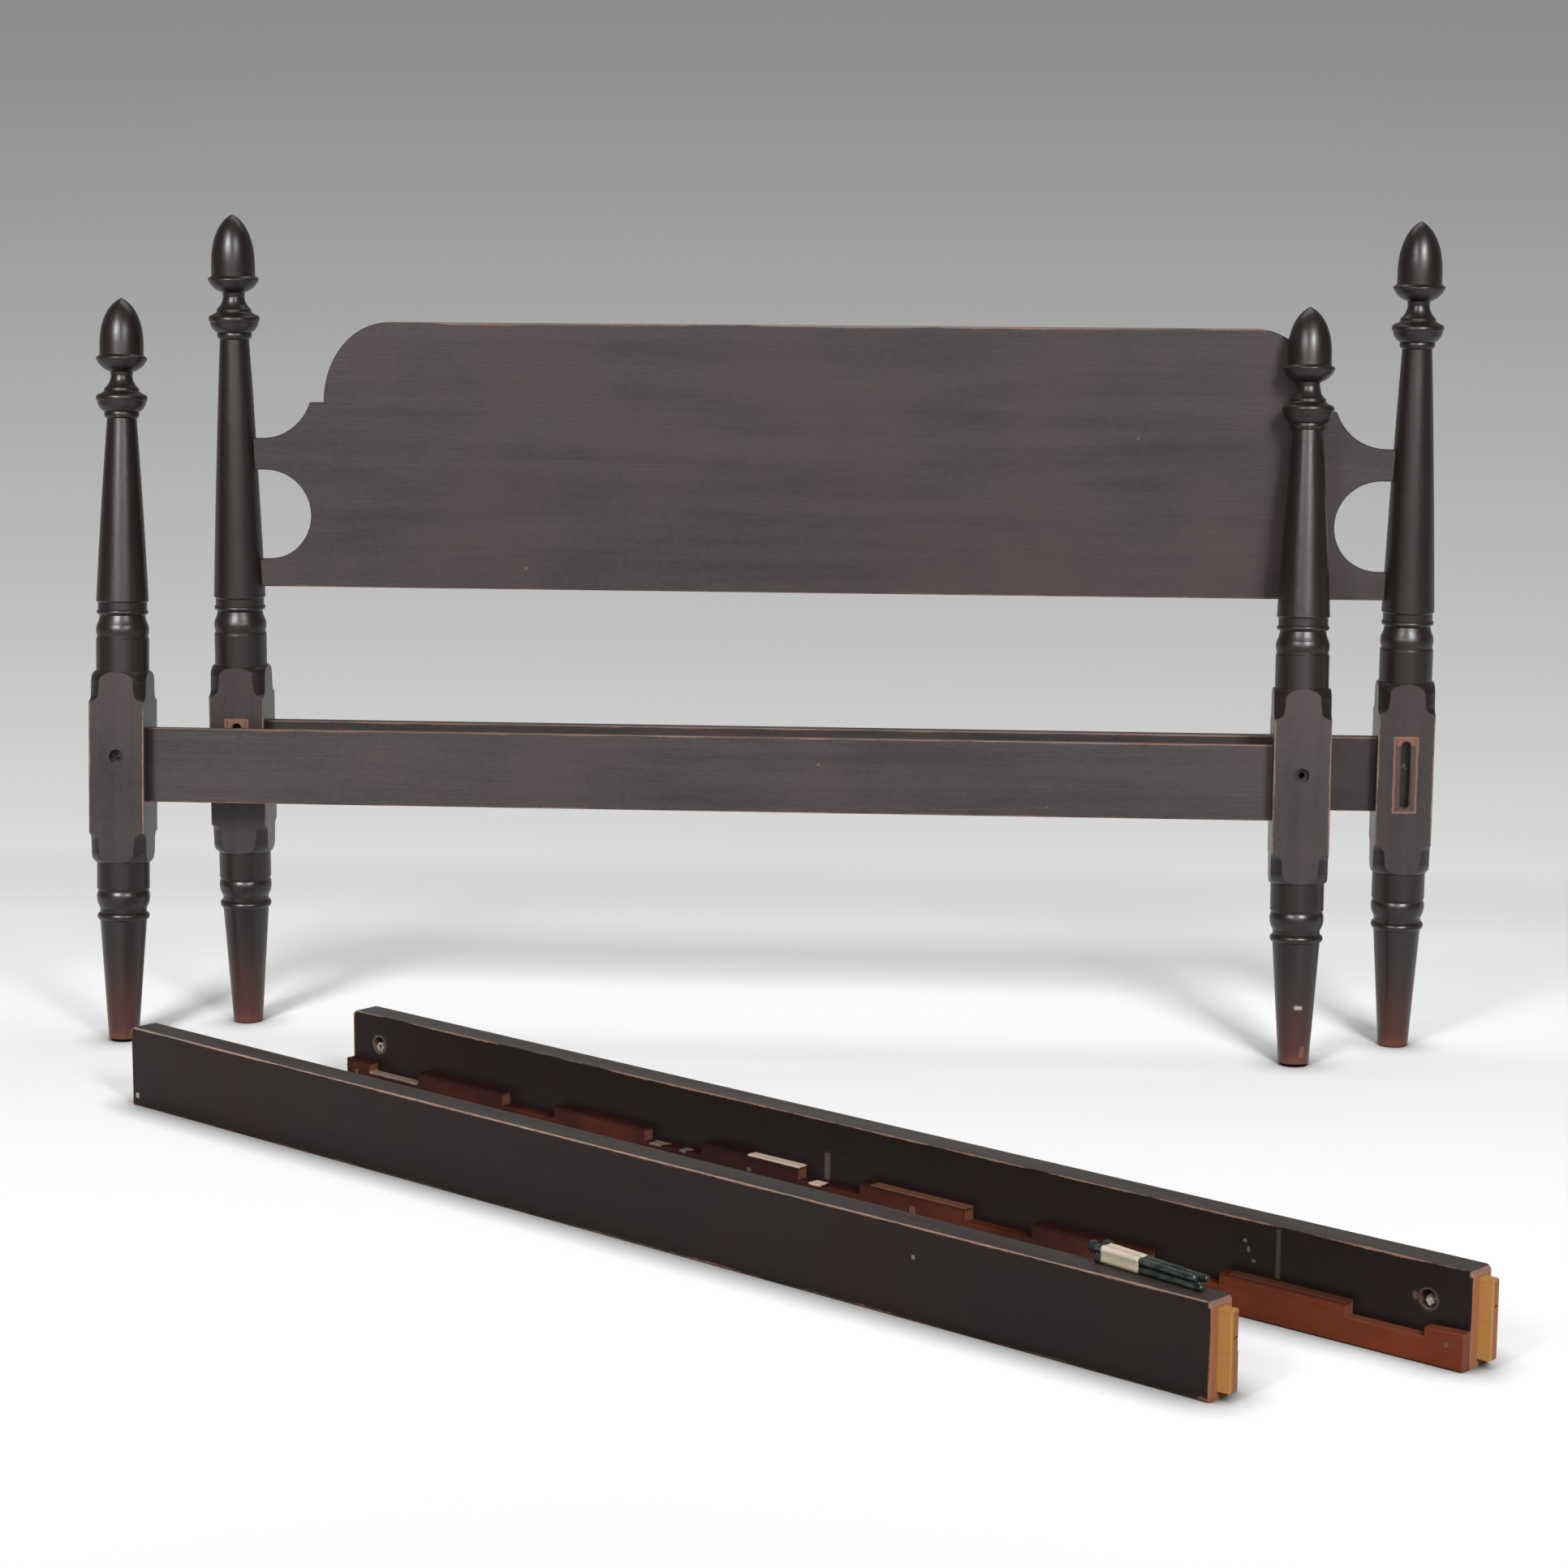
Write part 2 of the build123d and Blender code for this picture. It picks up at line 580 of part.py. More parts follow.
def tape_section(x, margin):
    """An outline round the four shanks at x, drawn on the current sketch's plane."""
    low = shank_place(x, 1, 0)
    high = shank_place(x, 1, 1)
    radius = shank_radius + margin
    RectangleRounded(2 * (low.Y + radius), high.Z - low.Z + 2 * radius, radius)


def tape_plane(x):
    """The plane across the bundle at x, through the middle of its shanks."""
    middle = (shank_place(x, 1, 0).Z + shank_place(x, 1, 1).Z) / 2
    return aimed(bundle, (x, 0, middle), (0, 1, 0), (1, 0, 0))


def bolt_tape(label):
    """The band of tape, drawn tight from shank to shank."""
    ends = (tape_start, tape_start + tape_width)
    with BuildPart() as tape:
        for x in ends:
            with BuildSketch(tape_plane(x)):
                tape_section(x, tape_gap + tape_thickness)
        loft()
        for x in ends:
            with BuildSketch(tape_plane(x)):
                tape_section(x, tape_gap)
        loft(mode=Mode.SUBTRACT)
    finish(tape, label)


# Head end
bed_post(head_end, "head_post_left", "head", -1, -1)
bed_post(head_end, "head_post_right", "head", 1, -1)
headboard(head_end, "headboard_panel")
end_rail(head_end, "head_rail")

# Foot end
bed_post(foot_end, "foot_post_left", "foot", -1, 1)
bed_post(foot_end, "foot_post_right", "foot", 1, 1)
end_rail(foot_end, "foot_rail")

# Side rails; the near one is turned round, so that its ledger faces away
for frame, name in ((far_rail, "far"), (near_rail, "near")):
    side_rail(frame, f"side_rail_{name}")
    slat_ledger(frame, f"slat_ledger_{name}")
    for number, x in enumerate(screw_places, start=1):
        ledger_screw(frame, f"ledger_screw_{name}_{number}", x)
rail_nut(far_rail, "rail_nut_far_left", -1, 2.0, 0, faces_out=True)
rail_nut(far_rail, "rail_nut_far_right", 1, 0.5, 36)
rail_nut(near_rail, "rail_nut_near_left", 1, nut_centred, -9)
rail_nut(near_rail, "rail_nut_near_right", -1, nut_centred, 14)

# Bolt bundle
bed_bolt("bed_bolt_1", -1, 1, 0)
bed_bolt("bed_bolt_2", 1, 1, stagger)
bed_bolt("bed_bolt_3", -1, 0, stagger)
bed_bolt("bed_bolt_4", 1, 0, 0)
bolt_tape("bolt_tape")

for piece in pieces:
    export_step(piece.part, f"parts/{piece.part.label}.step")
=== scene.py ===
# %% [markdown]
# # A four-poster bed, taken apart
# The bed is in pieces: the head end stands, the foot end leans on it, and two side
# rails lie on the floor in front with their bolts taped together.
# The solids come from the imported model, so this file only gives them their finish,
# rebuilds the tape as wound paper, and sets up a plain studio.

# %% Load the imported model
import math

import bpy
from mathutils import Matrix, Vector, noise


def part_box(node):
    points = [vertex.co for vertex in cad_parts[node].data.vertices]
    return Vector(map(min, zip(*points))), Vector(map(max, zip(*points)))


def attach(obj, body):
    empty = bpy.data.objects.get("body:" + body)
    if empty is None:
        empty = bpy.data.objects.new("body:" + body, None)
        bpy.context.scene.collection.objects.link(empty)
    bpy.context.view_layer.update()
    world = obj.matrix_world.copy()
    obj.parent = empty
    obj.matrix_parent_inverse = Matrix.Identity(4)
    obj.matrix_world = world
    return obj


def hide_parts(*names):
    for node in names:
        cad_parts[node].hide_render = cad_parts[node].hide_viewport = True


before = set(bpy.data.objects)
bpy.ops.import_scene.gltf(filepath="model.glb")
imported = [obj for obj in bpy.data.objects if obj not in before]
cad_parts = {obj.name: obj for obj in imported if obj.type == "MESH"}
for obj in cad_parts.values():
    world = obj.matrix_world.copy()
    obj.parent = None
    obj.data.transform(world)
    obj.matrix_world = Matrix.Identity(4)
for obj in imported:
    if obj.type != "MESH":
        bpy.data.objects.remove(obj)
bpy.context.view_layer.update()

# %% [markdown]
# ## Where things are
# Each finish is painted in its piece's own directions: along, across and up. A side
# rail lies turned on the floor and the foot end leans, so a finish needs the turn and
# the origin of its piece. The turns are written as angles. The head end and the side
# rails are found by their boxes, and the foot end by its distance from the head end.

# %% Measure the layout
# angles, and sizes in metres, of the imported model
RAIL_TURN = math.radians(37.7)
LEAN = math.radians(5.0)
POST_REACH = 1.0
RAIL_HALF = Vector((1.037, 0.023, 0.0635))
BLOCK_HALF = 0.0475
FOOT_SHIFT = 0.1825
FOOT_BACK = 0.15551
FOOT_LIFT = 0.00205


def middle(node):
    low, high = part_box(node)
    return (low + high) / 2


head_x = (middle("head_post_left").x + middle("head_post_right").x) / 2
head_y = middle("head_post_left").y
head_spot = Vector((head_x, head_y, 0))
foot_spot = Vector((head_x - FOOT_SHIFT, head_y - FOOT_BACK, FOOT_LIFT))
print("head end", tuple(round(v, 4) for v in head_spot))

# %% [markdown]
# ## The camera
# A long lens a few metres away, a little above the posts' tops, looking slightly down.
# Its place and turn are written as numbers, because a fitted camera repeats the
# photograph's perspective better than one moved by eye.

# %% Set up the camera
PICTURE = 1932
LENS_IN_PIXELS = 4247.99
SENSOR = 36.0
PITCH, ROLL, YAW = 0.166023, 0.005702, 0.065219
EYE_FROM_HEAD = Vector((0.3269, -5.856, 1.4217))
VIEW_DEPTH = 60

forward = Vector((-math.sin(YAW) * math.cos(PITCH), math.cos(YAW) * math.cos(PITCH),
                  -math.sin(PITCH)))
level = Vector((math.cos(YAW), math.sin(YAW), 0))
over = level.cross(forward)
right = level * math.cos(ROLL) + over * math.sin(ROLL)
up = over * math.cos(ROLL) - level * math.sin(ROLL)

camera = bpy.data.objects.new("camera", bpy.data.cameras.new("camera"))
bpy.context.scene.collection.objects.link(camera)
camera.data.sensor_width = SENSOR
camera.data.lens = SENSOR * LENS_IN_PIXELS / PICTURE
camera.data.clip_end = VIEW_DEPTH
placed = Matrix((right, up, -forward)).transposed().to_4x4()
placed.translation = head_spot + EYE_FROM_HEAD
camera.matrix_world = placed
bpy.context.scene.camera = camera
bpy.context.scene.view_settings.view_transform = "Standard"
print("lens", round(camera.data.lens, 2), "mm")

# %% [markdown]
# ## Small helpers for materials
# A material is a tree of nodes. These helpers add one node and wire its inputs, so
# that the finishes below read as short recipes.


# %% Node helpers
def wire(tree, source, socket):
    """Link a socket, or set a plain value."""
    if isinstance(source, bpy.types.NodeSocket):
        tree.links.new(source, socket)
    else:
        socket.default_value = source


def put(tree, kind, values=None, **settings):
    node = tree.nodes.new(kind)
    for name, value in settings.items():
        setattr(node, name, value)
    for name, value in (values or {}).items():
        wire(tree, value, node.inputs[name])
    return node


def calc(tree, operation, *values, clamp=False):
    node = put(tree, "ShaderNodeMath", operation=operation, use_clamp=clamp)
    for socket, value in zip(node.inputs, values):
        wire(tree, value, socket)
    return node.outputs[0]


def arrow(tree, operation, *values):
    """One step of vector arithmetic."""
    node = put(tree, "ShaderNodeVectorMath", operation=operation)
    for socket, value in zip(node.inputs, values):
        wire(tree, value, socket)
    single = operation in ("LENGTH", "DOT_PRODUCT")
    return node.outputs["Value" if single else "Vector"]


def blend_colour(tree, mask, below, above):
    node = put(tree, "ShaderNodeMix", data_type="RGBA")
    wire(tree, mask, node.inputs[0])
    wire(tree, below, node.inputs[6])
    wire(tree, above, node.inputs[7])
    return node.outputs[2]


def ease(tree, value, start, end):
    """0 at start, 1 at end, with a soft run between them."""
    node = put(tree, "ShaderNodeMapRange", interpolation_type="SMOOTHSTEP")
    for socket, number in zip(node.inputs, (value, start, end, 0.0, 1.0)):
        wire(tree, number, socket)
    return node.outputs[0]


def cloud(tree, vector, scale, detail=3.0, roughness=0.55, distortion=0.0):
    return put(tree, "ShaderNodeTexNoise",
               {"Vector": vector, "Scale": scale, "Detail": detail,
                "Roughness": roughness, "Distortion": distortion}).outputs["Fac"]


def rgba(red, green, blue):
    return (red, green, blue, 1.0)


# %% [markdown]
# ## Shared effects as node groups
# Old stain wears off first along arrises and round holes, wood has grain, and a
# handled bed picks up small pale nicks. Each of these is used by several finishes, so
# each is a group with named inputs and outputs, built once.

# %% Start a group
SOCKETS = {"vector": "NodeSocketVector", "value": "NodeSocketFloat"}


def new_group(name, inputs, outputs):
    """An empty group with its sockets; returns its tree, inputs and output node."""
    tree = bpy.data.node_groups.new(name, "ShaderNodeTree")
    for label, kind, start in inputs:
        socket = tree.interface.new_socket(name=label, in_out="INPUT",
                                           socket_type=SOCKETS[kind])
        socket.default_value = start
    for label in outputs:
        tree.interface.new_socket(name=label, in_out="OUTPUT",
                                  socket_type=SOCKETS["value"])
    entry = tree.nodes.new("NodeGroupInput")
    return tree, entry.outputs, tree.nodes.new("NodeGroupOutput")


def use(tree, name, output, **values):
    """Place a group in a tree; input names are written with underscores."""
    node = put(tree, "ShaderNodeGroup", node_tree=bpy.data.node_groups[name])
    for label, value in values.items():
        wire(tree, value, node.inputs[label.replace("_", " ")])
    return node.outputs[output]


# %% Distance to an arris
tree, given, result = new_group("Arris distance", [
    ("Vector", "vector", (0, 0, 0)), ("Centre", "vector", (0, 0, 0)),
    ("Half size", "vector", (1, 1, 1))], ["Distance"])
offset = arrow(tree, "ABSOLUTE", arrow(tree, "SUBTRACT", given["Vector"], given["Centre"]))
parts = put(tree, "ShaderNodeSeparateXYZ",
            {0: arrow(tree, "SUBTRACT", given["Half size"], offset)}).outputs
nearest = calc(tree, "MINIMUM", parts[0], parts[1])
farther = calc(tree, "MAXIMUM", parts[0], parts[1])
second = calc(tree, "MAXIMUM", nearest, calc(tree, "MINIMUM", farther, parts[2]))
wire(tree, second, result.inputs["Distance"])

# %% A place on a piece
tree, given, result = new_group("Place", [
    ("Vector", "vector", (0, 0, 0)), ("Centre", "vector", (0, 0, 0)),
    ("Half size", "vector", (1, 1, 1)), ("Fade", "value", 0.01)], ["Mask"])
offset = arrow(tree, "ABSOLUTE", arrow(tree, "SUBTRACT", given["Vector"], given["Centre"]))
outside = arrow(tree, "MAXIMUM", arrow(tree, "SUBTRACT", offset, given["Half size"]), (0, 0, 0))
away = arrow(tree, "LENGTH", outside)
wire(tree, calc(tree, "SUBTRACT", 1.0, ease(tree, away, 0.0, given["Fade"])),
     result.inputs["Mask"])

# %% Rubbed-through stain
tree, given, result = new_group("Rubbed", [
    ("Vector", "vector", (0, 0, 0)), ("Distance", "value", 1.0),
    ("Reach", "value", 0.003), ("Patches", "value", 0.5)], ["Mask"])
broad = cloud(tree, given["Vector"], 7.0, 3.0)
fine = cloud(tree, given["Vector"], 160.0, 2.0)
swing = calc(tree, "MULTIPLY", given["Patches"],
             calc(tree, "MULTIPLY_ADD", broad, 5.0, -2.6))
reach = calc(tree, "MULTIPLY", given["Reach"], calc(tree, "ADD", 1.0, swing))
reach = calc(tree, "MULTIPLY", reach, calc(tree, "MULTIPLY_ADD", fine, 1.2, 0.4))
reach = calc(tree, "MAXIMUM", reach, 0.00001)
share = calc(tree, "DIVIDE", given["Distance"], reach)
wire(tree, calc(tree, "SUBTRACT", 1.0, ease(tree, share, 0.35, 1.1)), result.inputs["Mask"])

# %% Wood grain
tree, given, result = new_group("Grain", [
    ("Vector", "vector", (0, 0, 0)), ("Stretch", "vector", (1, 1, 1))],
    ["Streak", "Fibre"])
drawn = arrow(tree, "MULTIPLY", given["Vector"], given["Stretch"])
wire(tree, cloud(tree, drawn, 1.0, 5.0, 0.6, 0.5), result.inputs["Streak"])
wire(tree, cloud(tree, drawn, 9.0, 3.0, 0.65, 0.2), result.inputs["Fibre"])

# %% Pale nicks
tree, given, result = new_group("Nicks", [
    ("Vector", "vector", (0, 0, 0)), ("Scale", "value", 30.0),
    ("Share", "value", 0.04)], ["Mask"])
wobble = cloud(tree, given["Vector"], 140.0, 2.0)
cells = put(tree, "ShaderNodeTexVoronoi", {"Vector": given["Vector"],
                                           "Scale": given["Scale"]})
lot = put(tree, "ShaderNodeSeparateColor", {0: cells.outputs["Color"]}).outputs[0]
chosen = calc(tree, "LESS_THAN", lot, given["Share"])
size = calc(tree, "MULTIPLY", wobble, 0.14)
close = calc(tree, "LESS_THAN", cells.outputs["Distance"], size)
wire(tree, calc(tree, "MULTIPLY", chosen, close), result.inputs["Mask"])
print("node groups", [group.name for group in bpy.data.node_groups])

# %% [markdown]
# ## Dark stain over wood
# The posts, boards and rails are one finish: a brown-black stain with a plum cast and a
# satin lacquer, worn through to orange-brown wood where hands, floors and neighbours
# rub. One recipe makes all of them. It takes the piece's own directions, the box whose
# arrises are rubbed, and a list of places with their colours.

# %% Colours, as linear light
STAIN_DARK = rgba(0.0135, 0.0100, 0.0105)
STAIN_LIGHT = rgba(0.025, 0.018, 0.0185)
STAIN_PLUM = rgba(0.033, 0.0155, 0.0175)
STAIN_BLACK = rgba(0.006, 0.0034, 0.0025)
RUBBED_WOOD = rgba(0.16, 0.060, 0.032)
PINK_WOOD = rgba(0.21, 0.120, 0.088)
SHOULDER_WOOD = rgba(0.24, 0.095, 0.042)
HONEY_WOOD = rgba(0.31, 0.15, 0.042)
TENON_TIP = rgba(0.18, 0.075, 0.035)
FOOT_RED = rgba(0.040, 0.0085, 0.005)
SOLE_RED = rgba(0.090, 0.026, 0.014)
# the next colour is dust and a painted sheen, laid on faces that look up
DUST_AND_SHEEN = rgba(0.090, 0.080, 0.074)
PALE = rgba(0.34, 0.28, 0.235)


def own_directions(tree, turn, spot):
    """The piece's own along, across and up, in metres from its origin."""
    place = put(tree, "ShaderNodeTexCoord").outputs["Object"]
    turned = turn.to_matrix() @ spot
    return put(tree, "ShaderNodeMapping",
               {"Vector": place, "Rotation": tuple(turn), "Location": tuple(-turned)}
               ).outputs[0]


def new_material(name):
    material = bpy.data.materials.new(name)
    material.use_nodes = True
    tree = material.node_tree
    return material, tree, tree.nodes["Principled BSDF"]


def dress(node, material):
    """Give a CAD node its finish."""
    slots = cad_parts[node].material_slots
    if not slots:
        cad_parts[node].data.materials.append(material)
    for slot in slots:
        slot.material = material


def facing(tree, way):
    """How far a surface faces a direction of the row, 0 to 1."""
    normal = put(tree, "ShaderNodeNewGeometry").outputs["Normal"]
    return calc(tree, "MAXIMUM", arrow(tree, "DOT_PRODUCT", normal, tuple(way)), 0.0)


# %% The stain's tones
def stain_tones(tree, own, streak, broad):
    """Darker and lighter stain along the grain, with plum clouds over it."""
    mottle = cloud(tree, own, 90.0, 4.0, 0.7)
    tone = calc(tree, "MULTIPLY_ADD", streak, 0.6, calc(tree, "MULTIPLY", mottle, 0.4))
    colour = blend_colour(tree, ease(tree, tone, 0.36, 0.62), STAIN_DARK, STAIN_LIGHT)
    plum = calc(tree, "MULTIPLY", ease(tree, broad, 0.4, 0.7), 0.7)
    return blend_colour(tree, plum, colour, STAIN_PLUM)


def blackness(tree, own, deep, turned):
    """How black the stain is: deep on flat faces, turned on a post's round parts."""
    if not turned:
        return deep
    offset = put(tree, "ShaderNodeSeparateXYZ", {0: arrow(tree, "ABSOLUTE", own)}).outputs
    wide = calc(tree, "MAXIMUM", offset[0], offset[1])
    flat = ease(tree, wide, BLOCK_HALF - 0.0010, BLOCK_HALF - 0.0003)
    return calc(tree, "MULTIPLY_ADD", flat, deep - turned, turned)


# %% Dust and painted sheen on tops, and worn feet
def dust_and_sheen_top(tree, colour, streak, dust_and_sheen):
    # faces that look up turn paler: partly dust, partly a painted sheen for the light the tops
    # catch
    top = ease(tree, facing(tree, (0, 0, 1)), 0.75, 0.98)
    dust_and_sheen_mask = calc(tree, "MULTIPLY", top, calc(tree, "MULTIPLY", streak, dust_and_sheen * 2))
    return blend_colour(tree, dust_and_sheen_mask, colour, DUST_AND_SHEEN)


def worn_feet(tree, own, colour, broad, fibre):
    """Red wood shows towards a foot, and most of all at its sole."""
    height = put(tree, "ShaderNodeSeparateXYZ", {0: own}).outputs[2]
    ragged = calc(tree, "MULTIPLY_ADD", broad, 0.10, height)
    red = calc(tree, "SUBTRACT", 1.0, ease(tree, ragged, 0.05, 0.21))
    colour = blend_colour(tree, calc(tree, "MULTIPLY", red, 0.9), colour, FOOT_RED)
    scuff = calc(tree, "MULTIPLY_ADD", fibre, 0.035, height)
    sole = calc(tree, "SUBTRACT", 1.0, ease(tree, scuff, 0.016, 0.042))
    return blend_colour(tree, calc(tree, "MULTIPLY", sole, 0.8), colour, SOLE_RED)


# %% Rings and marks
HOLE_RADIUS = 0.0125


def worn_ring(tree, own, colour, hole, broad, fibre):
    """Pink wood round a cross hole. A hole has a centre, a width and a share."""
    centre, width, strength = hole
    flat = arrow(tree, "MULTIPLY", arrow(tree, "SUBTRACT", own, centre), (1, 0, 1))
    ring = calc(tree, "SUBTRACT", arrow(tree, "LENGTH", flat), HOLE_RADIUS)
    ring = calc(tree, "MULTIPLY_ADD", calc(tree, "SUBTRACT", broad, 0.5), 0.02, ring)
    mask = calc(tree, "SUBTRACT", 1.0, ease(tree, ring, 0.0, width))
    near = calc(tree, "MULTIPLY", mask, calc(tree, "MULTIPLY", fibre, strength * 2))
    return blend_colour(tree, near, colour, PINK_WOOD)


def shaken(tree, own, scale, amounts):
    """Directions pushed about by noise, so that a mark's edge is ragged."""
    shake = put(tree, "ShaderNodeTexNoise",
                {"Vector": own, "Scale": scale, "Detail": 3.0}).outputs["Color"]
    shake = arrow(tree, "SUBTRACT", shake, (0.5, 0.5, 0.5))
    return arrow(tree, "ADD", own, arrow(tree, "MULTIPLY", shake, amounts))


def stain_mark(tree, own, colour, mark, fibre):
    """A mark is a centre, half sizes, a soft edge, a colour, a share and a raggedness."""
    centre, half, fade, tint, strength, ragged = mark
    moved = shaken(tree, own, 60.0, (ragged, ragged, ragged)) if ragged else own
    mask = use(tree, "Place", "Mask", Vector=moved, Centre=centre, Half_size=half,
               Fade=fade)
    grain = calc(tree, "MULTIPLY", ease(tree, fibre, 0.4, 0.75), 0.35)
    shade = blend_colour(tree, grain, tint, tuple(0.55 * part for part in tint[:3]) + (1.0,))
    return blend_colour(tree, calc(tree, "MULTIPLY", mask, strength), colour, shade), mask


# %% The stain's recipe
def stained(name, turn, spot, stretch, box, places=(), reach=0.003, patches=0.5,
            rub_colour=RUBBED_WOOD, feet=False, dust_and_sheen=0.0, gloss=0.36, holes=(), deep=0.0,
            turned=0.0, shine=0.35):
    material, tree, shader = new_material(name)
    own = own_directions(tree, turn, spot)
    streak = use(tree, "Grain", "Streak", Vector=own, Stretch=stretch)
    fibre = use(tree, "Grain", "Fibre", Vector=own, Stretch=stretch)
    broad = cloud(tree, own, 3.2, 3.0)
    colour = stain_tones(tree, own, streak, broad)
    colour = blend_colour(tree, blackness(tree, own, deep, turned), colour, STAIN_BLACK)
    if dust_and_sheen:
        colour = dust_and_sheen_top(tree, colour, streak, dust_and_sheen)
    if feet:
        colour = worn_feet(tree, own, colour, broad, fibre)
    away = use(tree, "Arris distance", "Distance", Vector=own, Centre=box[0],
               Half_size=box[1])
    rub = use(tree, "Rubbed", "Mask", Vector=own, Distance=away, Reach=reach,
              Patches=patches)
    tone = blend_colour(tree, ease(tree, streak, 0.35, 0.65), rub_colour, PINK_WOOD)
    colour = blend_colour(tree, calc(tree, "MULTIPLY", rub, 0.75), colour, tone)
    for hole in holes:
        colour = worn_ring(tree, own, colour, hole, broad, fibre)
    dull = rub
    for mark in places:
        colour, mask = stain_mark(tree, own, colour, mark, fibre)
        dull = calc(tree, "MAXIMUM", dull, mask)
    nicks = use(tree, "Nicks", "Mask", Vector=own, Scale=26.0, Share=0.03)
    colour = blend_colour(tree, calc(tree, "MULTIPLY", nicks, 0.15), colour, PALE)
    tree.links.new(colour, shader.inputs["Base Color"])
    rough = calc(tree, "MULTIPLY_ADD", broad, 0.22, gloss - 0.11)
    rough = calc(tree, "MULTIPLY_ADD", dull, 0.25, rough)
    tree.links.new(rough, shader.inputs["Roughness"])
    relief = calc(tree, "MULTIPLY_ADD", dull, -0.5, calc(tree, "ADD", fibre, streak))
    bump = put(tree, "ShaderNodeBump", {"Height": relief, "Strength": 0.35,
                                        "Distance": 0.0006})
    tree.links.new(bump.outputs[0], shader.inputs["Normal"])
    shader.inputs["Specular IOR Level"].default_value = shine
    return material


print("stain recipe ready")

# %% [markdown]
# ## Posts
# A turned post's grain runs up it. Its square block is rubbed along four upright
# arrises, and the feet have lost their stain to the floor. The head posts also show
# the wood round the slots where a rail's shoulder has sat. The right foot post has two
# small chips.

# %% Finish the posts
UPRIGHT = (26.0, 26.0, 1.4)
BLOCK_BOX = ((0, 0, 0.47), (BLOCK_HALF, BLOCK_HALF, 3.0))
no_turn = Matrix.Identity(3).to_euler()
leaning = Matrix.Rotation(LEAN, 3, "X").to_euler()
SLOT_FACE = (
    ((0, -BLOCK_HALF, 0.479), (0.0195, 0.003, 0.0650), 0.002, SHOULDER_WOOD, 0.45, 0.004),
    ((0, -BLOCK_HALF, 0.479), (0.0160, 0.003, 0.0615), 0.002, STAIN_DARK, 0.85, 0.004),
    ((0, -BLOCK_HALF, 0.536), (0.0130, 0.003, 0.0050), 0.004, SHOULDER_WOOD, 0.40, 0.010),
    ((0, -0.038, 0.474), (0.0082, 0.0085, 0.0575), 0.0012, TENON_TIP, 0.35, 0.0))
FOOT_CHIPS = (
    ((0.004, -0.03, 0.098), (0.0045, 0.02, 0.0012), 0.0035, PALE, 0.7, 0.008),
    ((0.012, -0.03, 0.022), (0.002, 0.02, 0.008), 0.003, PINK_WOOD, 0.3, 0.006))

for side, word in ((-1, "left"), (1, "right")):
    spot = head_spot + Vector((side * POST_REACH, 0, 0))
    dress(f"head_post_{word}", stained(
        f"stained_head_post_{word}", no_turn, spot, UPRIGHT, BLOCK_BOX,
        places=SLOT_FACE, reach=0.0026, patches=0.9, feet=True, gloss=0.34,
        turned=0.8, shine=0.45))
    spot = foot_spot + Vector((side * POST_REACH, 0, 0))
    marks = FOOT_CHIPS if side > 0 else ()
    dress(f"foot_post_{word}", stained(
        f"stained_foot_post_{word}", leaning, spot, UPRIGHT, BLOCK_BOX,
        places=marks, reach=0.0026, patches=0.9, feet=True, gloss=0.34,
        turned=0.8, shine=0.45))
print("posts finished")

# %% [markdown]
# ## Boards
# The headboard and both end rails are flat boards with the grain running across the
# bed, and they are rubbed a little along their long edges.

# %% Finish the boards
ACROSS = (1.6, 30.0, 26.0)
dress("headboard_panel", stained(
    "stained_headboard", no_turn, head_spot, ACROSS,
    ((0, 0, 0.997), (1.2, 0.011, 0.226)), reach=0.0019, patches=0.9, gloss=0.45))
dress("head_rail", stained(
    "stained_head_rail", no_turn, head_spot, ACROSS,
    ((0, 0, 0.4735), (1.2, 0.0125, 0.0635)), reach=0.0021, patches=0.8, dust_and_sheen=0.10, gloss=0.45))
dress("foot_rail", stained(
    "stained_foot_rail", leaning, foot_spot, ACROSS,
    ((0, 0, 0.4735), (1.2, 0.0125, 0.0635)), reach=0.0021, patches=0.8, dust_and_sheen=0.10, gloss=0.45))
print("boards finished")

# %% [markdown]
# ## Side rails
# Long boards on edge. Their arrises are rubbed through in patches. The ends were never
# stained: orange-brown shoulders and a tenon of bare honey-coloured wood. Round the far
# rail's nut holes some of the stain has gone.

# %% Finish the side rails
rail_turned = Matrix.Rotation(RAIL_TURN, 3, "Z").to_euler()
ALONG = (1.5, 30.0, 30.0)
RAIL_BOX = ((0, 0, RAIL_HALF.z), tuple(RAIL_HALF))
NUT_HOLE = 0.975
HOLE_HEIGHT = 0.079


def rail_ends():
    """Bare shoulders and tenons at both ends, and pink top corners: partly worn wood, partly a
    painted highlight.
    """
    marks = []
    for side in (-1, 1):
        shoulder = side * RAIL_HALF.x
        marks.append(((shoulder + side * 0.0107, 0, 0.0635), (0.011, 0.03, 0.07), 0.0006,
                      SHOULDER_WOOD, 1.0, 0.0))
        marks.append(((shoulder + side * 0.012, 0, 0.064), (0.0116, 0.0073, 0.0528), 0.0007,
                      HONEY_WOOD, 1.0, 0.0))
        marks.append(((shoulder + side * 0.0215, 0, 0.064), (0.0012, 0.0075, 0.054), 0.0012,
                      TENON_TIP, 0.8, 0.0))
        # pink top corner at the shoulder: partly worn wood, partly a painted highlight
        marks.append(((shoulder, 0, 0.124), (0.003, 0.024, 0.004), 0.002, PINK_WOOD, 0.8,
                      0.004))
    return marks


